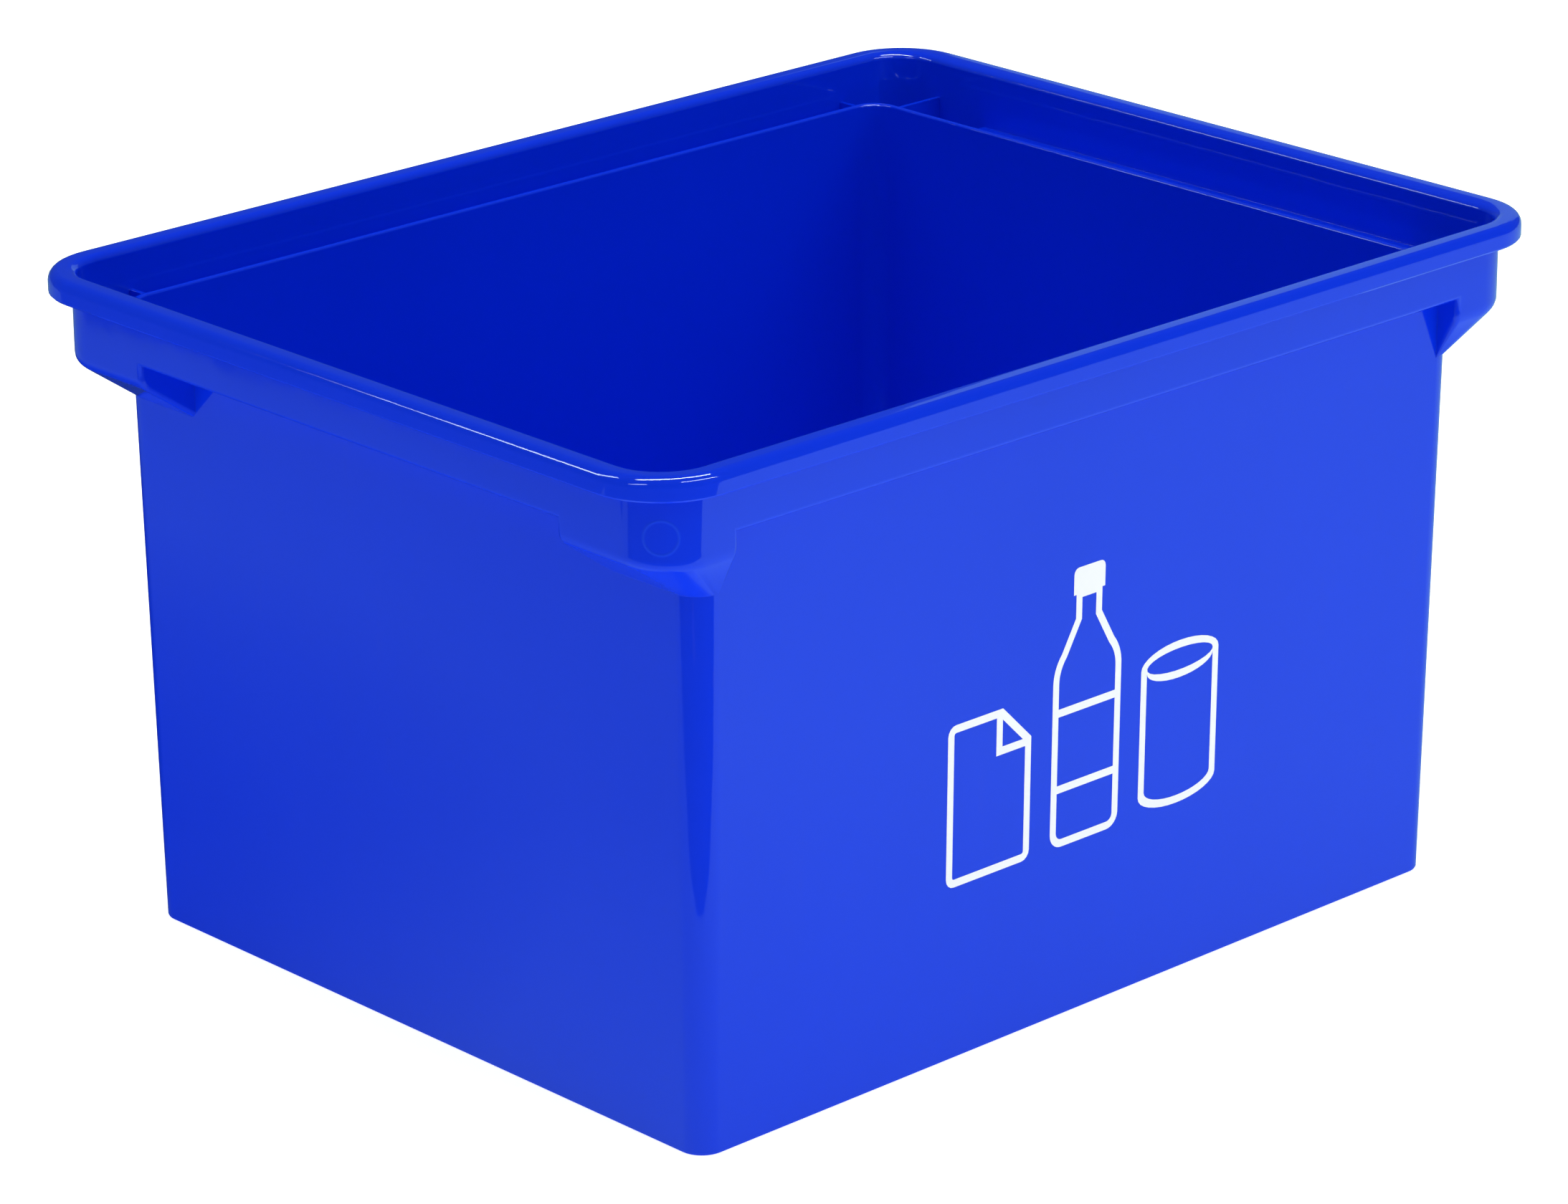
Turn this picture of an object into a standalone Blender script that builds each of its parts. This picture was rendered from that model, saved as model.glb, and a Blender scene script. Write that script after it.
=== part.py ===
"""Open-topped recycling bin, moulded in one piece, with three pictograms printed on one long side.

Metres, +Z up. The origin is the middle of the footprint, on the surface that the bin stands on. +X runs
along the long sides and +Y along the short ones. The print is on the long side that faces -Y.
"""

import math

import bmesh
import bpy
from mathutils import Vector

# Heights above the ground.
HEIGHT = 0.267
FLOOR_TOP = 0.0038
FOOT_RECESS = 0.0012
POD_TIP_Z = 0.214
POD_CREASE_Z = 0.2315
BAND_BOTTOM_Z = 0.2392
TROUGH_Z = 0.2426
RAIL_Z = 0.2505
LIP_BOTTOM_Z = 0.2581

# Outside half sizes, along X and along Y. The body's walls are straight from the ground to DRAFT_TOP_Z.
DRAFT_TOP_Z = 0.2403
BODY_AT_GROUND = (0.1952, 0.1561)
BODY_AT_TOP = (0.1983, 0.1602)
BAND = (0.2228, 0.1700)
RIM = (0.2324, 0.1782)

# Walls and small edges.
WALL = 0.0025
BAND_WALL = 0.0023
RIM_WALL = 0.0024
POD_WALL = 0.0024
POD_UNDERSIDE_DROP = 0.0036
WEB_WALL = 0.0020
WEB_STEP = 0.0003
GROUND_EDGE = 0.0008
FLOOR_FILLET = 0.004
RAIL_EDGE = 0.0011
RIM_OUTER_EDGE = 0.004
RIM_INNER_EDGE = (0.0055, 0.0032)
RIM_INNER_DROP = 0.003
LIP_EDGE = 0.0008
SKIN_EDGE = 0.0022
CREASE_SOFTNESS = 0.003

# Corners seen from above: the body's at the ground and at DRAFT_TOP_Z. The band and the rim turn about
# one centre line.
BODY_CORNER = (0.0094, 0.0110)
CAVITY_CORNER = (0.0084, 0.0100)
CORNER_CENTRE_X = 0.2020
FOOT_CORNER = (0.009, 0.009)
FOOT_MARGIN = 0.011

# The four corner pods, and the webs across them, by their distance from the middle.
POD_FROM_X = 0.187
POD_FROM_Y = 0.1160
WEB_X = 0.1863
WEB_Y = 0.1451

# The print: its middle on the wall, and the stroke of its lines.
PRINT_CENTRE = (-0.0026, 0.1236)
PRINT_HEIGHT = 0.109
STROKE = 0.0031
INK = 0.0003
GAP = 0.0003
MOTIF_GAP = 0.011
SHEET_SIZE = (0.043, 0.064)
SHEET_CORNER = 0.004
SHEET_FOLD = 0.015
BOTTLE_HALF = 0.0180
BOTTLE_NECK_HALF = 0.0068
BOTTLE_CAP_HALF = 0.0082
BOTTLE_CAP_HEIGHT = 0.0105
BOTTLE_CAP_CORNER = 0.0025
BOTTLE_FOOT_CORNER = 0.006
BOTTLE_SHOULDER = 0.0654
BOTTLE_SHOULDER_TURN = 40
BOTTLE_NECK_FROM = 0.0892
BOTTLE_LABEL = (0.0218, 0.0523)
CAN_SIZE = (0.042, 0.066)
CAN_LID = 0.0075

# Fineness of the curved stretches, and how far tools overrun what they cut.
CORNER_STEPS = 12
EDGE_STEPS = 4
OVERRUN = 0.03
SINK = 0.05
SAME_POINT = 0.00002

BIN_BLUE = (0.001, 0.035, 0.81, 1.0)
INK_WHITE = (0.93, 0.94, 0.95, 1.0)


def new_collection(name):
    collection = bpy.data.collections.new(name)
    bpy.context.scene.collection.children.link(collection)
    return collection


def clear_scene():
    for obj in list(bpy.data.objects):
        bpy.data.objects.remove(obj, do_unlink=True)


def material(name, colour, roughness):
    made = bpy.data.materials.new(name)
    made.use_nodes = True
    shader = made.node_tree.nodes["Principled BSDF"]
    shader.inputs["Base Color"].default_value = colour
    shader.inputs["Roughness"].default_value = roughness
    shader.inputs["Metallic"].default_value = 0.0
    return made


# Sections: a section is (half size along X, half size along Y, corner radius, height).


def mix(a, b, share):
    """The section a share of the way from a to b."""
    return tuple(p + (q - p) * share for p, q in zip(a, b))


def body_section(z, inset=0.0, corner=BODY_CORNER):
    """The drafted body at height z, drawn in by inset on every side."""
    at_ground = (BODY_AT_GROUND[0] - inset, BODY_AT_GROUND[1] - inset, corner[0], 0.0)
    at_top = (BODY_AT_TOP[0] - inset, BODY_AT_TOP[1] - inset, corner[1], DRAFT_TOP_Z)
    return mix(at_ground, at_top, z / DRAFT_TOP_Z)


def rim_section(out, z):
    """The band's outline moved out by a share of the rim's overhang, which is larger along X than along Y."""
    half_x = BAND[0] + out
    half_y = BAND[1] + out * (RIM[1] - BAND[1]) / (RIM[0] - BAND[0])
    return (half_x, half_y, half_x - CORNER_CENTRE_X, z)


def inner_section(share, z):
    """The inside of the band, widened by a share of the rim's inner edge: the mouth of the bin."""
    half_x = BAND[0] - BAND_WALL + RIM_INNER_EDGE[0] * share
    half_y = BAND[1] - BAND_WALL + RIM_INNER_EDGE[1] * share
    return (half_x, half_y, half_x - CORNER_CENTRE_X, z)


def quarter(steps=EDGE_STEPS):
    """Pairs (cosine, sine) along a quarter turn, from (1, 0) to (0, 1)."""
    angles = [math.pi / 2 * step / steps for step in range(steps + 1)]
    return [(math.cos(angle), math.sin(angle)) for angle in angles]


def softened(before, corner, after, steps=EDGE_STEPS):
    """Sections along a parabola that rounds off the corner between two others."""
    shares = [step / steps for step in range(steps + 1)]
    return [mix(mix(before, corner, share), mix(corner, after, share), share) for share in shares]


def outline(half_x, half_y, radius, z):
    """A rounded rectangle at height z, anticlockwise from above."""
    points = []
    for turn, (sign_x, sign_y) in enumerate(((1, 1), (-1, 1), (-1, -1), (1, -1))):
        centre = Vector((sign_x * (half_x - radius), sign_y * (half_y - radius), z))
        for step in range(CORNER_STEPS + 1):
            angle = math.pi / 2 * (turn + step / CORNER_STEPS)
            points.append(centre + Vector((radius * math.cos(angle), radius * math.sin(angle), 0)))
    return points


def loft(name, sections, collection):
    """A closed solid through the sections, first to last, with a flat cap on each end."""
    bm = bmesh.new()
    rings = [[bm.verts.new(point) for point in outline(*section)] for section in sections]
    for low, high in zip(rings, rings[1:]):
        for i, vertex in enumerate(low):
            following = (i + 1) % len(low)
            bm.faces.new((vertex, low[following], high[following], high[i]))
    bm.faces.new(list(reversed(rings[0])))
    bm.faces.new(rings[-1])
    return mesh_object(name, bm, collection)


def box(name, low, high, collection):
    bm = bmesh.new()
    bmesh.ops.create_cube(bm, size=1.0)
    size = Vector(high) - Vector(low)
    middle = (Vector(high) + Vector(low)) / 2
    for vertex in bm.verts:
        vertex.co = Vector(c * s for c, s in zip(vertex.co, size)) + middle
    return mesh_object(name, bm, collection)


def mesh_object(name, bm, collection):
    mesh = bpy.data.meshes.new(name)
    bm.to_mesh(mesh)
    bm.free()
    obj = bpy.data.objects.new(name, mesh)
    collection.objects.link(obj)
    return obj


def as_tool(obj):
    obj.hide_render = True
    obj.display_type = "WIRE"
    return obj


def boolean(obj, operation, tool):
    modifier = obj.modifiers.new(operation.lower() + "_" + tool.name, "BOOLEAN")
    modifier.operation = operation
    modifier.solver = "EXACT"
    modifier.object = tool


def apply_modifiers(obj):
    graph = bpy.context.evaluated_depsgraph_get()
    evaluated = obj.evaluated_get(graph)
    mesh = bpy.data.meshes.new_from_object(evaluated)
    obj.modifiers.clear()
    obj.data = mesh


def body_outside(name, collection):
    """The drafted body from the ground to the top of the file rail, with its two small edges."""
    ground = [
        body_section(GROUND_EDGE * (1 - up), GROUND_EDGE * (1 - across))
        for across, up in reversed(quarter(2))
    ]
    rail = [
        body_section(RAIL_Z - RAIL_EDGE * (1 - up), RAIL_EDGE * (1 - across))
        for across, up in quarter(3)
    ]
    return loft(name, ground + rail, collection)


def skin(collection):
    """The outside of the pods, band and rim, with the pods' undersides running on all the way round."""
    crease = rim_section(0.0, POD_CREASE_Z)
    tip = mix(crease, body_section(POD_TIP_Z), 1 + SINK)
    straight = rim_section(0.0, POD_CREASE_Z + CREASE_SOFTNESS)
    sloped = mix(crease, tip, CREASE_SOFTNESS / (crease[0] - tip[0]))
    overhang = RIM[0] - BAND[0]
    under_rim = HEIGHT - RIM_WALL
    lip_inside = overhang - RIM_WALL
    lip = [
        rim_section(lip_inside, under_rim),
        rim_section(lip_inside, LIP_BOTTOM_Z + LIP_EDGE),
        rim_section(lip_inside + LIP_EDGE, LIP_BOTTOM_Z),
        rim_section(overhang - LIP_EDGE, LIP_BOTTOM_Z),
        rim_section(overhang, LIP_BOTTOM_Z + LIP_EDGE),
    ]
    top_edge = [
        rim_section(overhang - RIM_OUTER_EDGE * (1 - across), HEIGHT - RIM_OUTER_EDGE * (1 - up))
        for across, up in quarter(6)
    ]
    sections = [tip, *softened(sloped, crease, straight), rim_section(0.0, under_rim), *lip, *top_edge]
    return loft("tub", sections, collection)


def round_skin_edges(obj):
    """Rounds the edges where the undersides between the pods were cut out of the skin."""
    bm = bmesh.new()
    bm.from_mesh(obj.data)
    bmesh.ops.remove_doubles(bm, verts=bm.verts, dist=SAME_POINT)

    def on_skin(edge):
        middle = (edge.verts[0].co + edge.verts[1].co) / 2
        outside_body = abs(middle.x) > BODY_AT_TOP[0] - WALL or abs(middle.y) > BODY_AT_TOP[1] - WALL
        under_band = middle.z < BAND_BOTTOM_Z + SAME_POINT
        angle = edge.calc_face_angle_signed(0.0)
        return outside_body and under_band and angle > math.radians(60)

    edges = [edge for edge in bm.edges if on_skin(edge)]
    bmesh.ops.bevel(bm, geom=edges, offset=SKIN_EDGE, segments=3, profile=0.5, affect="EDGES")
    bmesh.ops.remove_doubles(bm, verts=bm.verts, dist=SAME_POINT)
    bm.to_mesh(obj.data)
    bm.free()


def cross_boxes(name, from_x, from_y, top, collection):
    """Two crossed boxes under a height: everything there but the four corner regions."""
    far = RIM[0] + OVERRUN
    low = POD_TIP_Z - OVERRUN
    along_y = box(name + "_along_y", (-from_x, -far, low), (from_x, far, top), collection)
    along_x = box(name + "_along_x", (-far, -from_y, low), (far, from_y, top), collection)
    return as_tool(along_y), as_tool(along_x)


def webs(collection):
    """The ribs across each pod, from the rail to the band."""
    half = WEB_WALL / 2
    low = POD_TIP_Z - OVERRUN
    top = RAIL_Z - WEB_STEP
    inner_x = BODY_AT_GROUND[0]
    inner_y = BODY_AT_GROUND[1]
    outer_x = BAND[0] - BAND_WALL / 2
    outer_y = BAND[1] - BAND_WALL / 2
    made = []
    for sign_x in (-1, 1):
        for sign_y in (-1, 1):
            corner = ("left" if sign_x < 0 else "right") + ("_front" if sign_y < 0 else "_back")
            xs = sorted((sign_x * inner_x, sign_x * outer_x))
            ys = sorted((sign_y * (WEB_Y - half), sign_y * (WEB_Y + half)))
            made.append(box("short_web_" + corner, (xs[0], ys[0], low), (xs[1], ys[1], top), collection))
            xs = sorted((sign_x * (WEB_X - half), sign_x * (WEB_X + half)))
            ys = sorted((sign_y * inner_y, sign_y * outer_y))
            made.append(box("long_web_" + corner, (xs[0], ys[0], low), (xs[1], ys[1], top), collection))
    return [as_tool(web) for web in made]


def hollow(collection):
    """The mouth, the trough round the rail and the insides of the four pods, as one tool."""
    crease = inner_section(0.0, POD_CREASE_Z + POD_UNDERSIDE_DROP - CREASE_SOFTNESS / 2)
    tip = mix(crease, body_section(POD_TIP_Z + POD_UNDERSIDE_DROP), 1 + SINK)
    rim_edge = [
        inner_section(1 - across, HEIGHT - RIM_INNER_DROP * (1 - up))
        for across, up in quarter()
    ]
    above = inner_section(1.0, HEIGHT + OVERRUN)
    tool = as_tool(loft("hollow", [tip, crease, *rim_edge, above], collection))
    for keep in cross_boxes("trough_floor", POD_FROM_X + POD_WALL, POD_FROM_Y + POD_WALL, TROUGH_Z, collection):
        boolean(tool, "DIFFERENCE", keep)
    boolean(tool, "DIFFERENCE", as_tool(body_outside("rail_outside", collection)))
    for web in webs(collection):
        boolean(tool, "DIFFERENCE", web)
    return tool


def cavity(collection):
    """The inside of the body, rounded at the floor and at the top of the rail."""
    floor_edge = [
        body_section(FLOOR_TOP + FLOOR_FILLET * (1 - up), WALL + FLOOR_FILLET * (1 - across), CAVITY_CORNER)
        for across, up in reversed(quarter())
    ]
    rail_edge = [
        body_section(RAIL_Z - RAIL_EDGE * (1 - up), WALL - RAIL_EDGE * (1 - across), CAVITY_CORNER)
        for across, up in quarter(3)
    ]
    above = (*rail_edge[-1][:3], HEIGHT)
    return as_tool(loft("cavity", [*floor_edge, *rail_edge, above], collection))


def foot_recess(collection):
    """The shallow panel under the floor, which leaves a flat ring for the bin to stand on."""
    low = body_section(-OVERRUN, FOOT_MARGIN, FOOT_CORNER)
    top = body_section(FOOT_RECESS, FOOT_MARGIN + FOOT_RECESS, FOOT_CORNER)
    mouth = body_section(0.0, FOOT_MARGIN, FOOT_CORNER)
    return as_tool(loft("foot_recess", [low, mouth, top], collection))


def tub(parts, tools):
    obj = skin(parts)
    for cut in cross_boxes("between_pods", POD_FROM_X, POD_FROM_Y, BAND_BOTTOM_Z, tools):
        boolean(obj, "DIFFERENCE", cut)
    boolean(obj, "UNION", as_tool(body_outside("body_outside", tools)))
    apply_modifiers(obj)
    round_skin_edges(obj)
    boolean(obj, "DIFFERENCE", hollow(tools))
    boolean(obj, "DIFFERENCE", cavity(tools))
    boolean(obj, "DIFFERENCE", foot_recess(tools))
    obj.data.materials.append(material("bin_blue_plastic", BIN_BLUE, 0.18))
    return obj


# Outlines of the print: points (x, y), anticlockwise, in metres on the wall, with y = 0 at its foot.


def arc(centre, radii, start, end, steps=8):
    """Points along an elliptical arc, angles in degrees."""
    angles = [math.radians(start + (end - start) * step / steps) for step in range(steps + 1)]
    return [(centre[0] + radii[0] * math.cos(a), centre[1] + radii[1] * math.sin(a)) for a in angles]


def drawn_in(points, distance):
    """A closed outline moved inwards by distance along its own bisectors."""
    moved = []
    for i, point in enumerate(points):
        here = Vector(point)
        arriving = (here - Vector(points[i - 1])).normalized()
        leaving = (Vector(points[(i + 1) % len(points)]) - here).normalized()
        inward = (Vector((-arriving.y, arriving.x)) + Vector((-leaving.y, leaving.x))).normalized()
        moved.append(here + inward * distance / inward.dot(Vector((-arriving.y, arriving.x))))
    return [tuple(point) for point in moved]


def between(points, low, high):
    """The stretch of a closed outline between two heights."""
    for level, side in ((low, 1), (high, -1)):
        kept = []
        for i, point in enumerate(points):
            before = points[i - 1]
            if (point[1] - level) * (before[1] - level) < 0:
                share = (level - before[1]) / (point[1] - before[1])
                kept.append((before[0] + (point[0] - before[0]) * share, level))
            if (point[1] - level) * side >= 0:
                kept.append(point)
        points = kept
    return points


def sheet_outlines():
    """A page with one corner folded down."""
    width, height = SHEET_SIZE
    left, right = -width / 2, width / 2
    fold, corner = SHEET_FOLD, SHEET_CORNER
    page = arc((left + corner, corner), (corner, corner), 180, 270, 4)
    page += arc((right - corner, corner), (corner, corner), 270, 360, 4)
    page += [(right, height - fold), (right - fold, height)]
    page += arc((left + corner, height - corner), (corner, corner), 90, 180, 4)
    inside = (left + STROKE, right - STROKE, height - STROKE)
    inner_corner = corner - STROKE
    window = arc((inside[0] + inner_corner, STROKE + inner_corner), (inner_corner,) * 2, 180, 270, 2)
    window += arc((inside[1] - inner_corner, STROKE + inner_corner), (inner_corner,) * 2, 270, 360, 2)
    window += [
        (inside[1], height - fold - STROKE),
        (right - fold - STROKE, height - fold - STROKE),
        (right - fold - STROKE, inside[2]),
    ]
    window += arc((inside[0] + inner_corner, inside[2] - inner_corner), (inner_corner,) * 2, 90, 180, 2)
    slant = STROKE * (math.sqrt(2) - 1)
    ear = [
        (right - fold, height - fold),
        (right - STROKE - slant, height - fold),
        (right - fold, height - STROKE - slant),
    ]
    return [page, window, ear]


def bottle_outlines():
    """A bottle with a solid screw cap and a label."""
    cap_foot = PRINT_HEIGHT - BOTTLE_CAP_HEIGHT
    foot = BOTTLE_FOOT_CORNER
    cap = BOTTLE_CAP_CORNER
    right_side = arc((BOTTLE_HALF - foot, foot), (foot, foot), 270, 360)
    right_side += arc((0.0, BOTTLE_SHOULDER), (BOTTLE_HALF, BOTTLE_HALF), 0, BOTTLE_SHOULDER_TURN)
    right_side += [(BOTTLE_NECK_HALF, BOTTLE_NECK_FROM)]
    right_side += [(BOTTLE_NECK_HALF, cap_foot), (BOTTLE_CAP_HALF, cap_foot)]
    right_side += arc((BOTTLE_CAP_HALF - cap, PRINT_HEIGHT - cap), (cap, cap), 0, 90, 4)
    whole = right_side + [(-x, y) for x, y in reversed(right_side)]
    inside = drawn_in(whole, STROKE)
    levels = (
        (0.0, BOTTLE_LABEL[0]),
        (BOTTLE_LABEL[0] + STROKE, BOTTLE_LABEL[1]),
        (BOTTLE_LABEL[1] + STROKE, cap_foot - STROKE / 2),
    )
    return [whole, *(between(inside, low, high) for low, high in levels)]


def can_outlines():
    """A drinks can, seen slightly from above."""
    half, height = CAN_SIZE[0] / 2, CAN_SIZE[1]
    top = height - CAN_LID
    whole = arc((0, CAN_LID), (half, CAN_LID), 180, 360, 16) + arc((0, top), (half, CAN_LID), 0, 180, 16)
    lid = arc((0, top), (half - STROKE, CAN_LID - STROKE), 0, 350, 24)
    inner = (half - STROKE, CAN_LID - STROKE / 2)
    side = arc((0, CAN_LID + STROKE / 2), inner, 180, 360, 16)
    side += arc((0, top - STROKE / 2), inner, 360, 180, 16)
    return [whole, lid, side]


def printed(name, outlines, centre_x, ink, collection):
    """Lays outlines on the drafted long wall: the first is the ink's edge and the others are its windows."""
    curve = bpy.data.curves.new(name, "CURVE")
    curve.dimensions = "2D"
    curve.fill_mode = "BOTH"
    curve.extrude = INK / 2
    for points in outlines:
        spline = curve.splines.new("POLY")
        spline.points.add(len(points) - 1)
        for target, (x, y) in zip(spline.points, points):
            target.co = (x, y, 0.0, 1.0)
        spline.use_cyclic_u = True
    curve.materials.append(ink)
    obj = bpy.data.objects.new(name, curve)
    collection.objects.link(obj)
    draft = math.atan2(BODY_AT_TOP[1] - BODY_AT_GROUND[1], DRAFT_TOP_Z)
    foot_z = PRINT_CENTRE[1] - PRINT_HEIGHT / 2
    obj.location = (centre_x, -body_section(foot_z)[1] - GAP - INK / 2, foot_z)
    obj.rotation_euler = (math.pi / 2 + draft, 0.0, 0.0)
    return obj


def print_on_wall(parts):
    """A page, a bottle and a can in a row, in white outline."""
    ink = material("white_ink", INK_WHITE, 0.45)
    widths = (SHEET_SIZE[0], 2 * BOTTLE_HALF, CAN_SIZE[0])
    drawings = (sheet_outlines(), bottle_outlines(), can_outlines())
    left = PRINT_CENTRE[0] - (sum(widths) + 2 * MOTIF_GAP) / 2
    for name, width, outlines in zip(("printed_page", "printed_bottle", "printed_can"), widths, drawings):
        printed(name, outlines, left + width / 2, ink, parts)
        left += width + MOTIF_GAP


def main():
    clear_scene()
    parts = new_collection("recycling_bin")
    tools = new_collection("cutters")
    tub(parts, tools)
    print_on_wall(parts)


main()
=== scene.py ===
"""Looks for the recycling bin: glossy blue plastic, the printed pictograms, the studio and the camera.

Metres, +Z up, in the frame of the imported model: the bin stands on z = 0 and the print faces -Y.
"""

import math

import bmesh
import bpy
from mathutils import Euler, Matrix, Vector


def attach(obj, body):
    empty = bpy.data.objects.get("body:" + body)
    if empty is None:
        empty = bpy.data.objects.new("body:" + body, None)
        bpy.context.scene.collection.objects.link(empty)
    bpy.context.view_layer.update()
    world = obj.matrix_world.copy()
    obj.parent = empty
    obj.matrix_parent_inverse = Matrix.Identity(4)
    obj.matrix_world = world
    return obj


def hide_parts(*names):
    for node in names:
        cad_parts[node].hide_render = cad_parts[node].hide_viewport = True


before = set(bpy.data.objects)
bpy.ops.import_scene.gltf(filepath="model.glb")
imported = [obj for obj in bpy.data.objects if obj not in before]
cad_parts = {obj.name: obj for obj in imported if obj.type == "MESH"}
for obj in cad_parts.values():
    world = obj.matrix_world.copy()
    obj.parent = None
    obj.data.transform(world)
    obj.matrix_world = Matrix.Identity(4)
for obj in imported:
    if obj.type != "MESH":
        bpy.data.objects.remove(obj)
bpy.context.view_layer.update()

# Camera: a long lens on the corner between the plain short side and the printed long side.
IMAGE_WIDTH = 2187
FOCAL_PX = 8642.1
PRINCIPAL_SHIFT = (-0.01036, -0.00043)
CAMERA_AT = (-1.54179, -1.63226, 0.95173)
CAMERA_TURN = (69.6878, 0.2553, -43.5073)
SENSOR = 36.0

# Shading of the moulding.
SHARP_ANGLE = math.radians(35)
SAME_POINT = 0.00001
EDGE_SOFTNESS = 0.00035
PLASTIC_DEEP = (0.0008, 0.028, 0.74, 1.0)
PLASTIC_PALE = (0.0012, 0.033, 0.82, 1.0)
PLASTIC_IOR = 1.49
PLASTIC_SPECULAR = 0.85

# The faint circle that a core pin left on the outside of the front left pod.
RING_CENTRE = (-0.2171, -0.1635, 0.2427)
RING_RADIUS = 0.0062
RING_WIDTH = 0.0005
# The lighter blue along the circle is a painted highlight; the circle's groove itself is a bump.
RING_PAINTED_HIGHLIGHT = (0.05, 0.20, 1.0, 1.0)

# The print, laid on the drafted wall.
INK_OFF_WALL = 0.00002
INK_THIN = 0.08
CAD_GAP = 0.0003
END_SLICE = 0.0005
INK_DULL = (0.93, 0.94, 0.96, 1.0)
INK_WHITE = (1.0, 1.0, 1.0, 1.0)
INK_IOR = 1.48

# Studio. What the gloss mirrors is tinted, and the light that falls on things is white.
WORLD_STRENGTH = 0.10
GLOSS_TINT = (0.54, 1.0, 0.86)
FLOOR_HALF = 9.0
FLOOR_GREYS = ((0.90, 0.90, 0.90, 1.0), (0.93, 0.93, 0.93, 1.0))
FLOOR_ROUGHNESS = 0.9
FLOOR_GLOW = 0.70

# The table top that the gloss mirrors, seen from above, and its glow from left to right.
TABLE_OUTLINE = ((-0.95, 0.297), (6.0, -6.28), (8.0, 6.0), (-0.445, 6.0), (-0.685, 0.63), (-0.712, 0.33))
TABLE_Z = 0.0004
TABLE_GLOW = (0.28, 0.57)
TABLE_GLOW_SPAN = 0.35
CAMERA_RIGHT = Vector((0.7264, -0.6873, 0.0))

# The bin's own shade on the table behind it: its middle, and where it starts and stops to fade.
SHADE_CENTRE = (0.05, 0.42, 0.0)
SHADE_FADE = (0.30, 0.52)
SHADE_GLOW = 0.12

# The light strips whose reflections run along the rims.
STRIP_HEIGHT = 1.8
STRIP_TINT = (0.72, 0.90, 1.0)


def new_object(name, mesh):
    obj = bpy.data.objects.new(name, mesh)
    bpy.context.scene.collection.objects.link(obj)
    return obj


# Materials.


class Nodes:
    """A short way to write node trees."""

    def __init__(self, name):
        self.material = bpy.data.materials.new(name)
        self.material.use_nodes = True
        self.tree = self.material.node_tree
        self.shader = self.tree.nodes["Principled BSDF"]
        self.object_point = self.add("ShaderNodeTexCoord").outputs["Object"]

    def add(self, kind, inputs=(), **settings):
        node = self.tree.nodes.new(kind)
        for key, value in settings.items():
            setattr(node, key, value)
        for socket, value in dict(inputs).items():
            self.feed(node.inputs[socket], value)
        return node

    def feed(self, socket, value):
        """Links a socket to another node's output, or sets its value."""
        if isinstance(value, bpy.types.NodeSocket):
            self.tree.links.new(value, socket)
        else:
            socket.default_value = value

    def drive(self, **inputs):
        """Links the shader's sockets, named with _ for a space, to node outputs."""
        for socket, value in inputs.items():
            self.feed(self.shader.inputs[socket.replace("_", " ")], value)

    def even(self, **inputs):
        """Sets the shader's sockets, named with _ for a space, to one value all over."""
        for socket, value in inputs.items():
            self.shader.inputs[socket.replace("_", " ")].default_value = value

    def maths(self, operation, *values):
        return self.add("ShaderNodeMath", dict(enumerate(values)), operation=operation).outputs[0]

    def distance(self, centre):
        inputs = {0: self.object_point, 1: centre}
        return self.add("ShaderNodeVectorMath", inputs, operation="DISTANCE").outputs["Value"]

    def along(self, direction):
        inputs = {0: self.object_point, 1: direction}
        return self.add("ShaderNodeVectorMath", inputs, operation="DOT_PRODUCT").outputs["Value"]

    def noise(self, scale, detail=3.0, roughness=0.5, stretch=(1.0, 1.0, 1.0)):
        point = self.add("ShaderNodeMapping", {"Vector": self.object_point, "Scale": stretch}).outputs[0]
        inputs = {"Vector": point, "Scale": scale, "Detail": detail, "Roughness": roughness}
        return self.add("ShaderNodeTexNoise", inputs).outputs["Fac"]

    def spread(self, value, low, high, start=0.0, stop=1.0):
        """A value from start to stop, mapped to low to high."""
        inputs = {"Value": value, "From Min": start, "From Max": stop, "To Min": low, "To Max": high}
        return self.add("ShaderNodeMapRange", inputs).outputs[0]

    def blend(self, share, a, b):
        """The colour a share of the way from a to b."""
        node = self.add("ShaderNodeMix", {"Factor": share}, data_type="RGBA")
        for socket, colour in zip([s for s in node.inputs if s.type == "RGBA"], (a, b)):
            self.feed(socket, colour)
        return next(s for s in node.outputs if s.type == "RGBA")

    def bump(self, height, distance, strength=1.0, normal=None):
        inputs = {"Height": height, "Distance": distance, "Strength": strength}
        if normal is not None:
            inputs["Normal"] = normal
        return self.add("ShaderNodeBump", inputs).outputs[0]


def witness_ring(n):
    """One on the circle that the core pin left, falling off to zero on both sides of it."""
    off = n.maths("DIVIDE", n.maths("SUBTRACT", n.distance(RING_CENTRE), RING_RADIUS), RING_WIDTH)
    return n.maths("EXPONENT", n.maths("MULTIPLY", n.maths("MULTIPLY", off, off), -1.0))


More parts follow.
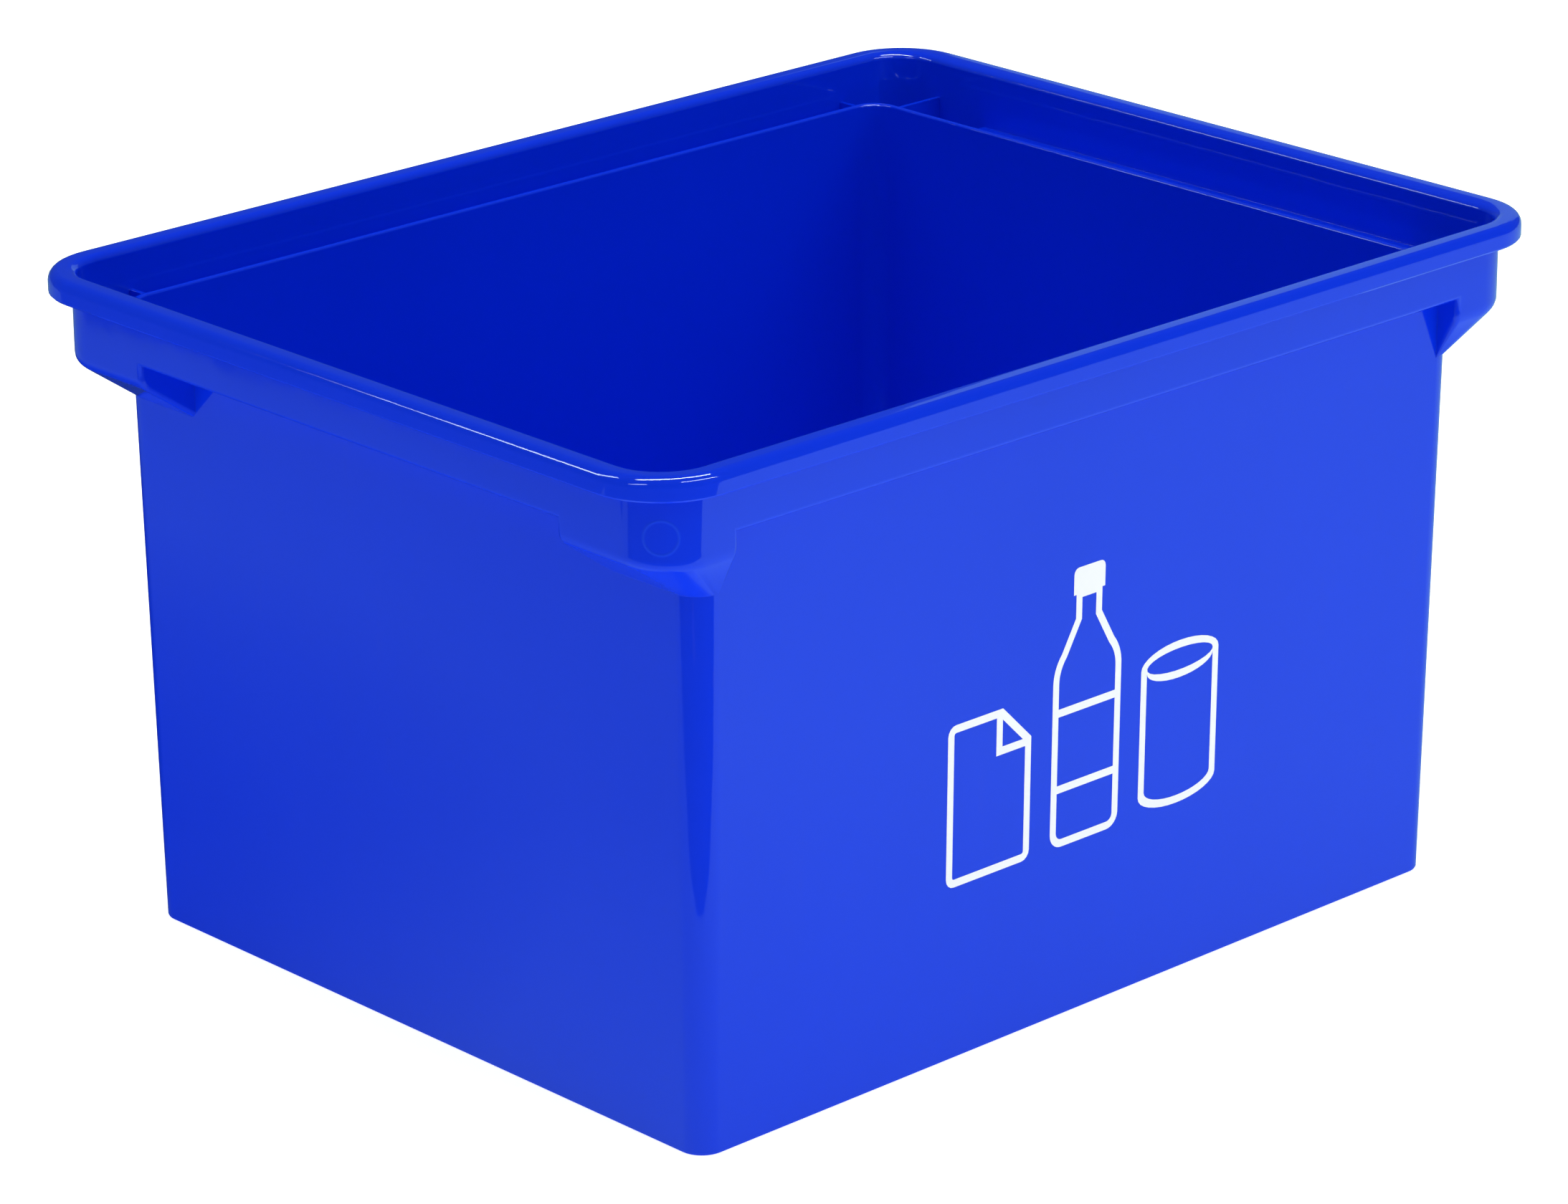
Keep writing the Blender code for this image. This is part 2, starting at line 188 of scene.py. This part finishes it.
def bin_plastic():
    """Glossy moulded polypropylene: a fine waviness, faint flow marks and a little handling wear."""
    n = Nodes("bin_blue_plastic")
    ring = witness_ring(n)
    flow = n.noise(9.0, 4.0, 0.55, (1.0, 1.0, 0.35))
    colour = n.blend(flow, PLASTIC_DEEP, PLASTIC_PALE)
    # Painted highlight: the core-pin circle is tinted a lighter blue, where light would catch its edge.
    colour = n.blend(n.maths("MULTIPLY", ring, 0.12), colour, RING_PAINTED_HIGHLIGHT)

    scratches = n.maths("GREATER_THAN", n.noise(420.0, 2.0, 0.5, (1.0, 1.0, 0.04)), 0.70)
    mottle = n.spread(n.noise(55.0, 3.0, 0.6), 0.035, 0.075)
    roughness = n.maths("ADD", mottle, n.maths("MULTIPLY", scratches, 0.05))

    soft_edges = n.add("ShaderNodeBevel", {"Radius": EDGE_SOFTNESS}, samples=4).outputs[0]
    waves = n.bump(n.noise(26.0, 2.0, 0.45), 0.0005, 0.40, soft_edges)
    peel = n.bump(n.noise(900.0, 2.0, 0.5), 0.00001, 0.5, waves)
    n.drive(Base_Color=colour, Roughness=roughness, Normal=n.bump(ring, 0.00015, 1.0, peel))
    n.even(IOR=PLASTIC_IOR, Specular_IOR_Level=PLASTIC_SPECULAR)
    return n.material


def white_ink():
    """Screen-printed ink: slightly uneven in thickness, duller than the plastic."""
    n = Nodes("screen_ink_white")
    colour = n.blend(n.noise(160.0, 4.0, 0.6), INK_DULL, INK_WHITE)
    roughness = n.spread(n.noise(700.0, 3.0, 0.6), 0.30, 0.50)
    grain = n.bump(n.noise(1500.0, 3.0, 0.5), 0.00002, 0.6)
    n.drive(Base_Color=colour, Roughness=roughness, Normal=grain)
    n.even(IOR=INK_IOR)
    return n.material


# Pieces.


def smooth_copy(name, node):
    """The node's shape as a new mesh, with its flat faces flat and its rounded edges smooth."""
    bm = bmesh.new()
    bm.from_mesh(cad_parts[node].data)
    bmesh.ops.remove_doubles(bm, verts=bm.verts, dist=SAME_POINT)
    for face in bm.faces:
        face.smooth = True
    for edge in bm.edges:
        edge.smooth = edge.is_manifold and edge.calc_face_angle(0.0) < SHARP_ANGLE
    mesh = bpy.data.meshes.new(name)
    bm.to_mesh(mesh)
    bm.free()
    return new_object(name, mesh)


def finished(obj, node, material):
    """Gives a piece its material, hides the node it stands in for and hangs the piece on the root body."""
    obj.data.materials.append(material)
    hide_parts(node)
    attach(obj, "root")


def moulded_tub():
    obj = smooth_copy("bin_moulding", "tub")
    weighted = obj.modifiers.new("weighted", "WEIGHTED_NORMAL")
    weighted.keep_sharp = True
    weighted.weight = 100
    finished(obj, "tub", bin_plastic())


def laid_ink(name, node, ink):
    """The printed node brought down onto the wall, as thin as ink."""
    obj = smooth_copy(name, node)
    points = [vertex.co for vertex in obj.data.vertices]
    low = min(point.z for point in points)
    high = max(point.z for point in points)
    foot = min(point.y for point in points if point.z < low + END_SLICE)
    head = min(point.y for point in points if point.z > high - END_SLICE)
    lean = (head - foot) / (high - low)
    back = max(point.y - lean * (point.z - low) for point in points)
    for point in points:
        plane = back + lean * (point.z - low)
        point.y = plane + CAD_GAP - INK_OFF_WALL + (point.y - plane) * INK_THIN
    finished(obj, node, ink)


# Studio.


def floor():
    bm = bmesh.new()
    bmesh.ops.create_grid(bm, x_segments=1, y_segments=1, size=FLOOR_HALF)
    mesh = bpy.data.meshes.new("floor")
    bm.to_mesh(mesh)
    bm.free()
    obj = new_object("floor", mesh)
    n = Nodes("pale_floor")
    n.drive(Base_Color=n.blend(n.noise(30.0, 3.0, 0.5), *FLOOR_GREYS))
    n.even(Roughness=FLOOR_ROUGHNESS, Specular_IOR_Level=0.0)
    n.even(Emission_Color=(1.0, 1.0, 1.0, 1.0), Emission_Strength=FLOOR_GLOW)
    obj.data.materials.append(n.material)
    obj.visible_glossy = False


def mirrored_ground():
    """What the gloss sees for a floor: a white table top, dimmer to the left, with dark beyond its edges."""
    bm = bmesh.new()
    bm.faces.new([bm.verts.new((x, y, TABLE_Z)) for x, y in TABLE_OUTLINE])
    mesh = bpy.data.meshes.new("mirrored_ground")
    bm.to_mesh(mesh)
    bm.free()
    obj = new_object("mirrored_ground", mesh)
    n = Nodes("mirrored_ground")
    glow = n.spread(n.along(CAMERA_RIGHT), *TABLE_GLOW, -TABLE_GLOW_SPAN, TABLE_GLOW_SPAN)
    shade = n.spread(n.distance(SHADE_CENTRE), SHADE_GLOW, 1.0, *SHADE_FADE)
    n.drive(Emission_Strength=n.maths("MULTIPLY", glow, shade))
    n.even(Base_Color=(0.0, 0.0, 0.0, 1.0), Specular_IOR_Level=0.0, Emission_Color=(*GLOSS_TINT, 1.0))
    obj.data.materials.append(n.material)
    obj.visible_camera = False
    obj.visible_diffuse = False
    obj.visible_shadow = False


def area_light(name, at, target, size, radiance):
    """An area light whose brightness is given by its radiance."""
    light = bpy.data.lights.new(name, "AREA")
    light.shape = "RECTANGLE"
    light.size, light.size_y = size
    light.energy = radiance * math.pi * size[0] * size[1]
    obj = new_object(name, light)
    obj.location = at
    obj.rotation_euler = (Vector(target) - Vector(at)).to_track_quat("-Z", "Y").to_euler()
    return obj


def lighting(*panel):
    """A white area light that lights the scene and shows in no gloss."""
    area_light(*panel).visible_glossy = False


def mirrored(name, *panel):
    """An area light that only shows in gloss, in the tint that the blue plastic mirrors."""
    obj = area_light(name + "_mirrored", *panel)
    obj.data.color = GLOSS_TINT
    obj.visible_diffuse = False


def softbox(*panel):
    lighting(*panel)
    mirrored(*panel)


def strip(name, start, end, width, radiance):
    """A level light panel between two points over the bin, seen only in gloss."""
    start, end = Vector((*start, STRIP_HEIGHT)), Vector((*end, STRIP_HEIGHT))
    middle = (start + end) / 2
    below = middle - Vector((0.0, 0.0, 1.0))
    obj = area_light(name, middle, below, ((end - start).length, width), radiance)
    obj.rotation_euler = (0.0, 0.0, math.atan2(end.y - start.y, end.x - start.x))
    obj.data.color = STRIP_TINT
    obj.visible_diffuse = False


def studio():
    world = bpy.data.worlds.new("studio")
    bpy.context.scene.world = world
    world.use_nodes = True
    background = world.node_tree.nodes["Background"]
    background.inputs["Color"].default_value = (*GLOSS_TINT, 1.0)
    background.inputs["Strength"].default_value = WORLD_STRENGTH

    floor()
    mirrored_ground()

    # A panel is given by where it is, what it faces, its size and its radiance. A strip is given by its two
    # ends from above, its width and its radiance.
    lighting("sky", (0.0, 0.0, 3.0), (0.0, 0.0, 0.0), (6.0, 6.0), 0.92)
    softbox("overhead", (0.0, 0.0, 1.9), (0.0, 0.0, 0.0), (1.4, 1.4), 1.6)
    softbox("key_right", (0.8, -2.4, 1.3), (0.0, -0.1, 0.12), (1.8, 1.4), 1.75)
    strip("strip_over", (-0.80, 0.05), (0.72, -0.48), 0.18, 26.0)
    strip("strip_front", (-0.56, -1.63), (1.50, -2.27), 0.15, 26.0)
    strip("strip_side", (-4.00, -0.40), (-2.33, -1.18), 0.45, 8.0)
    strip("strip_back", (-1.00, 0.60), (-2.20, 2.60), 0.26, 12.0)
    mirrored("pale_back", (2.6, 1.5, 1.0), (0.2, 0.1, 0.25), (1.5, 1.2), 0.32)
    softbox("fill_left", (-2.6, 0.4, 1.2), (-0.2, 0.0, 0.12), (1.4, 1.2), 0.35)


def camera():
    data = bpy.data.cameras.new("camera")
    data.sensor_width = SENSOR
    data.lens = FOCAL_PX * SENSOR / IMAGE_WIDTH
    data.shift_x, data.shift_y = PRINCIPAL_SHIFT
    data.clip_start = 0.05
    data.clip_end = 60.0
    obj = new_object("camera", data)
    obj.location = CAMERA_AT
    obj.rotation_euler = Euler([math.radians(angle) for angle in CAMERA_TURN], "XYZ")
    bpy.context.scene.camera = obj


camera()
studio()
bpy.context.scene.view_settings.view_transform = "Standard"
moulded_tub()
ink = white_ink()
for motif in ("page", "bottle", "can"):
    laid_ink("ink_" + motif, "printed_" + motif, ink)
